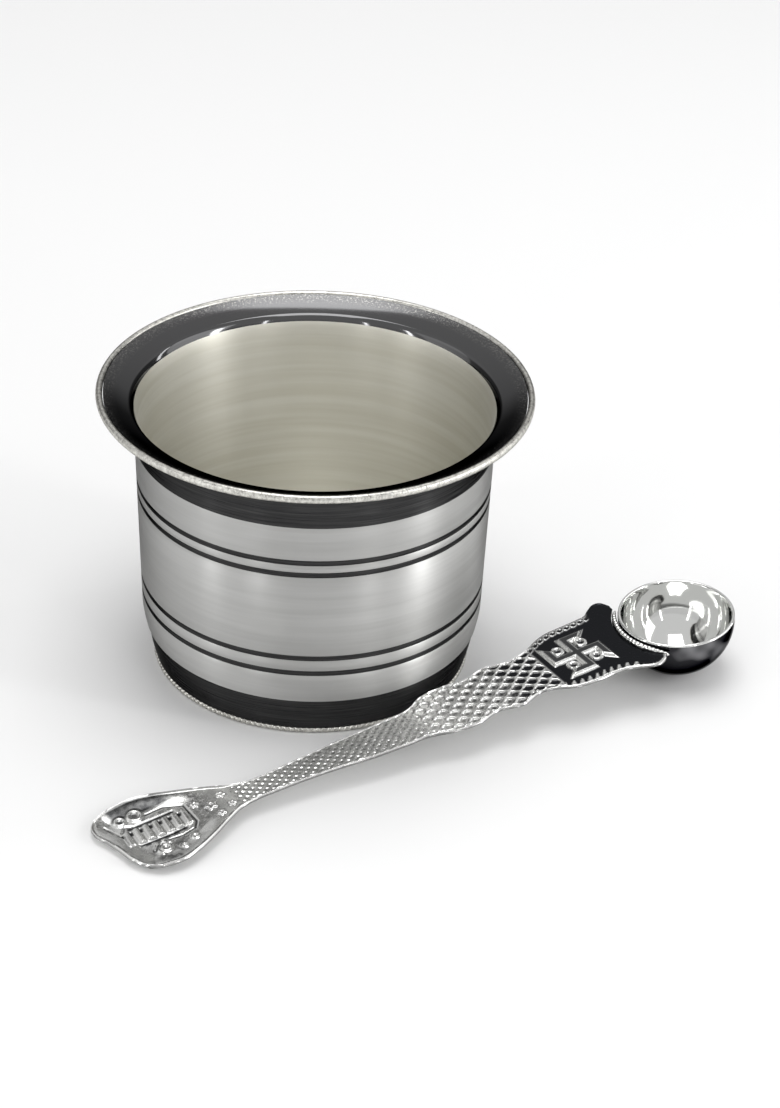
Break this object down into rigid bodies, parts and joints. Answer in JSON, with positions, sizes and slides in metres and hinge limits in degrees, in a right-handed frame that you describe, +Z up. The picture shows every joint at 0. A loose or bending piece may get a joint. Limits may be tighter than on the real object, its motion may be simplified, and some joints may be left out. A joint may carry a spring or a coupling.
{
  "type": "ghee pot",
  "caption": "Small round silver pot with a flared lip for ghee, with its loose serving spoon lying beside it.",
  "frame": {"origin": "centre of the pot's flat underside", "axes": "+Z up along the pot's axis; the spoon lies on the -Y side with its bowl towards +X"},
  "size_m": [0.1139, 0.107, 0.053],
  "materials": {
    "wall_silver": "silver sheet, finely brushed satin outside, warm matt inside, mirror-polished lip, neck and bright-cut lines",
    "wire_silver": "polished silver wire with fine reeding",
    "polished_silver": "mirror-polished silver",
    "mirror_silver": "bright mirror-polished silver",
    "struck_silver": "bright die-struck silver, darkened in its recesses"
  },
  "bodies": {
    "pot": {"pot_wall": "wall_silver", "rim_bead": "wire_silver", "base_cup": "polished_silver", "foot_ring": "wire_silver"},
    "spoon": {"spoon_bowl": "mirror_silver", "spoon_collar": "mirror_silver", "spoon_handle": "struck_silver"}
  },
  "joints": [
    {"name": "spoon_lift", "type": "slide", "parent": "pot", "child": "spoon", "axis": [0.3705, -0.6023, 0.7071], "range_m": [0, 0.12]}
  ]
}
